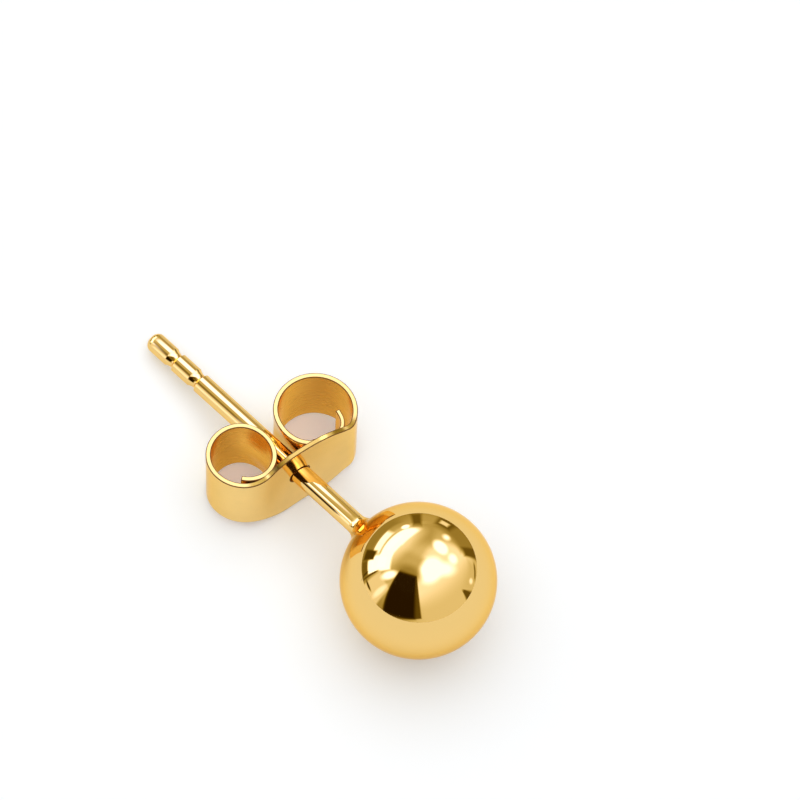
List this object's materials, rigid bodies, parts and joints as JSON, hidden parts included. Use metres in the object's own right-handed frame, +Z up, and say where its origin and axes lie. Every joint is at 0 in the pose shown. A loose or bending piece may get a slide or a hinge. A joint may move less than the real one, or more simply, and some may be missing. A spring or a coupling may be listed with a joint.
{
  "type": "ball stud earring",
  "caption": "Ball stud earring: a polished ball soldered to a notched ear post, with a butterfly clutch of rolled strip that slides on the post.",
  "frame": {"origin": "on the table, under the middle of the whole stud's bounding box as it lies at rest", "axes": "+X along the ear post in plan, from the ball towards the tip; +Y towards the smaller scroll of the clutch; +Z up"},
  "size_m": [0.0174, 0.0064, 0.006],
  "materials": {
    "polished_gold": "mirror polished, yellow gold colour",
    "satin_gold": "softly brushed and pressed, yellow gold colour"
  },
  "bodies": {
    "stud": {"ball_and_post": "polished_gold"},
    "clutch": {"scroll_clutch": "satin_gold"}
  },
  "joints": [
    {"name": "clutch_slide", "type": "slide", "parent": "stud", "child": "clutch", "axis": [0.9853, 0, -0.1706], "range_m": [-0.0028, 0.0087]}
  ]
}
